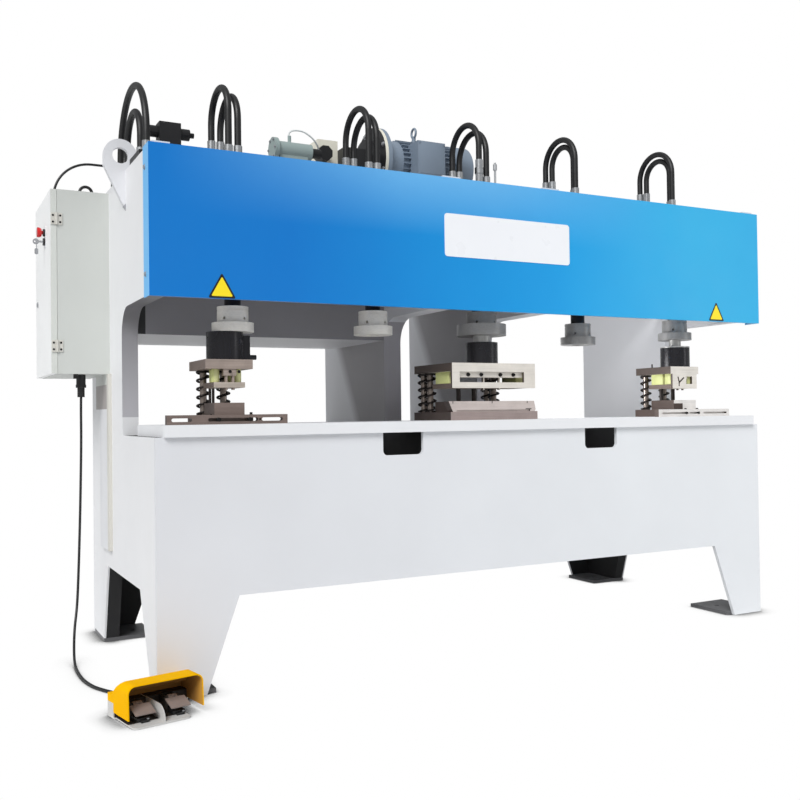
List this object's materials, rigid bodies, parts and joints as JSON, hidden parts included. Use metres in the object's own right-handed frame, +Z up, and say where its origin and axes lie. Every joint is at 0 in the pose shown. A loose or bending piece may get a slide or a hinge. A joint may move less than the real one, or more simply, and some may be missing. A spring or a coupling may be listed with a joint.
{
  "type": "multihead punch press",
  "caption": "Hydraulic multihead punch press: C-frame bench with ram heads, pipe die sets, blue front cover, wall cabinet, roof-mounted power unit and a guarded twin foot switch.",
  "frame": {"origin": "on the floor at the centre of the four anchor holes in the foot plates", "axes": "+X along the table to the right seen from the front, +Y to the back, +Z up; the front is at -Y"},
  "size_m": [3.107, 1.4947, 2.1971],
  "materials": {
    "frame_paint": "satin",
    "cover_paint": "satin",
    "cabinet_paint": "fine texture",
    "door_paint": "fine texture",
    "black_plastic": "matte",
    "red_plastic": "gloss",
    "key_steel": "polished",
    "switch_grey": "satin",
    "guard_yellow": "satin",
    "pedal_grey": "matte",
    "cable_black": "matte",
    "cylinder_steel": "machined",
    "rod_black": "ground, dark",
    "head_steel": "turned",
    "block_black": "satin",
    "die_brown": "ground, oiled",
    "die_light": "ground",
    "urethane": "satin",
    "spring_black": "oiled",
    "post_steel": "ground",
    "motor_grey": "satin",
    "rotor_steel": "machined",
    "pump_ivory": "satin",
    "valve_black": "satin",
    "filter_grey": "satin",
    "hose_black": "matte",
    "gear_grey": "matte"
  },
  "bodies": {
    "frame": {"front_panel": "frame_paint", "rear_panel": "frame_paint", "left_side_frame": "frame_paint", "right_side_frame": "frame_paint", "left_middle_frame": "frame_paint", "right_middle_frame": "frame_paint", "cross_beams": "frame_paint", "bay_plates": "frame_paint", "foot_plates": "frame_paint", "table_slab": "frame_paint", "lifting_lugs": "frame_paint", "front_cover": "cover_paint", "cabinet_body": "cabinet_paint", "control_gear": "gear_grey", "cable_glands": "black_plastic", "pedal_base": "switch_grey", "pedal_guard": "guard_yellow", "pedal_cable": "cable_black", "small_cylinders": "cylinder_steel", "centre_cylinder": "cylinder_steel", "lower_die_1": "die_brown", "lower_die_3": "die_light", "lower_die_5": "die_light", "guide_posts": "post_steel", "motor": "motor_grey", "pump_unit": "pump_ivory", "valves": "valve_black", "return_filter": "filter_grey", "hydraulic_hoses": "hose_black", "die_springs_1": "spring_black", "die_springs_3": "spring_black", "die_springs_5": "spring_black"},
    "door": {"cabinet_door": "door_paint"},
    "estop": {"estop_button": "red_plastic"},
    "key": {"key_switch": "key_steel"},
    "pedal_left": {"left_pedal": "pedal_grey"},
    "pedal_right": {"right_pedal": "pedal_grey"},
    "rotor": {"motor_rotor": "rotor_steel"},
    "press_1": {"ram_1": "rod_black", "ram_head_1": "head_steel", "punch_block_1": "block_black", "upper_die_1": "die_brown", "urethane_1": "urethane"},
    "press_2": {"ram_2": "rod_black", "ram_head_2": "head_steel"},
    "press_3": {"ram_3": "rod_black", "ram_head_3": "head_steel", "punch_block_3": "block_black", "upper_die_3": "die_light", "urethane_3": "urethane"},
    "press_4": {"ram_4": "rod_black", "ram_head_4": "head_steel"},
    "press_5": {"ram_5": "rod_black", "ram_head_5": "head_steel", "punch_block_5": "block_black", "upper_die_5": "die_light", "urethane_5": "urethane"},
    "strip_1": {"stripper_1": "die_light"},
    "strip_3": {"stripper_3": "die_brown"},
    "strip_5": {"stripper_5": "die_brown"}
  },
  "joints": [
    {"name": "ram_1_slide", "type": "slide", "parent": "frame", "child": "press_1", "axis": [0, 0, -1], "range_m": [-0.023, 0.05], "deforming": ["die_springs_1"]},
    {"name": "ram_2_slide", "type": "slide", "parent": "frame", "child": "press_2", "axis": [0, 0, -1], "range_m": [-0.018, 0.142]},
    {"name": "ram_3_slide", "type": "slide", "parent": "frame", "child": "press_3", "axis": [0, 0, -1], "range_m": [0, 0.05], "deforming": ["die_springs_3"]},
    {"name": "ram_4_slide", "type": "slide", "parent": "frame", "child": "press_4", "axis": [0, 0, -1], "range_m": [-0.034, 0.126]},
    {"name": "ram_5_slide", "type": "slide", "parent": "frame", "child": "press_5", "axis": [0, 0, -1], "range_m": [0, 0.05], "deforming": ["die_springs_5"]},
    {"name": "stripper_1_slide", "type": "slide", "parent": "press_1", "child": "strip_1", "axis": [0, 0, 1], "range_m": [0, 0.01], "stiffness_N_per_m": 60000, "springref_m": -0.002, "deforming": ["urethane_1"]},
    {"name": "stripper_3_slide", "type": "slide", "parent": "press_3", "child": "strip_3", "axis": [0, 0, 1], "range_m": [0, 0.01], "stiffness_N_per_m": 60000, "springref_m": -0.002, "deforming": ["urethane_3"]},
    {"name": "stripper_5_slide", "type": "slide", "parent": "press_5", "child": "strip_5", "axis": [0, 0, 1], "range_m": [0, 0.01], "stiffness_N_per_m": 60000, "springref_m": -0.002, "deforming": ["urethane_5"]},
    {"name": "door_hinge", "type": "hinge", "parent": "frame", "child": "door", "pos_m": [-1.579, 0.175, 1.4635], "axis": [0, 0, 1], "range_deg": [0, 110]},
    {"name": "estop_push", "type": "slide", "parent": "door", "child": "estop", "axis": [1, 0, 0], "range_m": [0, 0.004]},
    {"name": "key_turn", "type": "hinge", "parent": "door", "child": "key", "pos_m": [-1.601, 0.34, 1.642], "axis": [1, 0, 0], "range_deg": [0, 90]},
    {"name": "left_pedal_press", "type": "hinge", "parent": "frame", "child": "pedal_left", "pos_m": [-1.47494, -0.72485, 0.046], "axis": [0.9826, 0.1857, 0], "range_deg": [0, 10], "stiffness_Nm_per_rad": 6, "springref_deg": -5.73},
    {"name": "right_pedal_press", "type": "hinge", "parent": "frame", "child": "pedal_right", "pos_m": [-1.36194, -0.7035, 0.046], "axis": [0.9826, 0.1857, 0], "range_deg": [0, 10], "stiffness_Nm_per_rad": 6, "springref_deg": -5.73},
    {"name": "motor_spin", "type": "hinge", "parent": "frame", "child": "rotor", "pos_m": [-0.1, -0.03, 2.015], "axis": [1, 0, 0], "continuous": true}
  ]
}
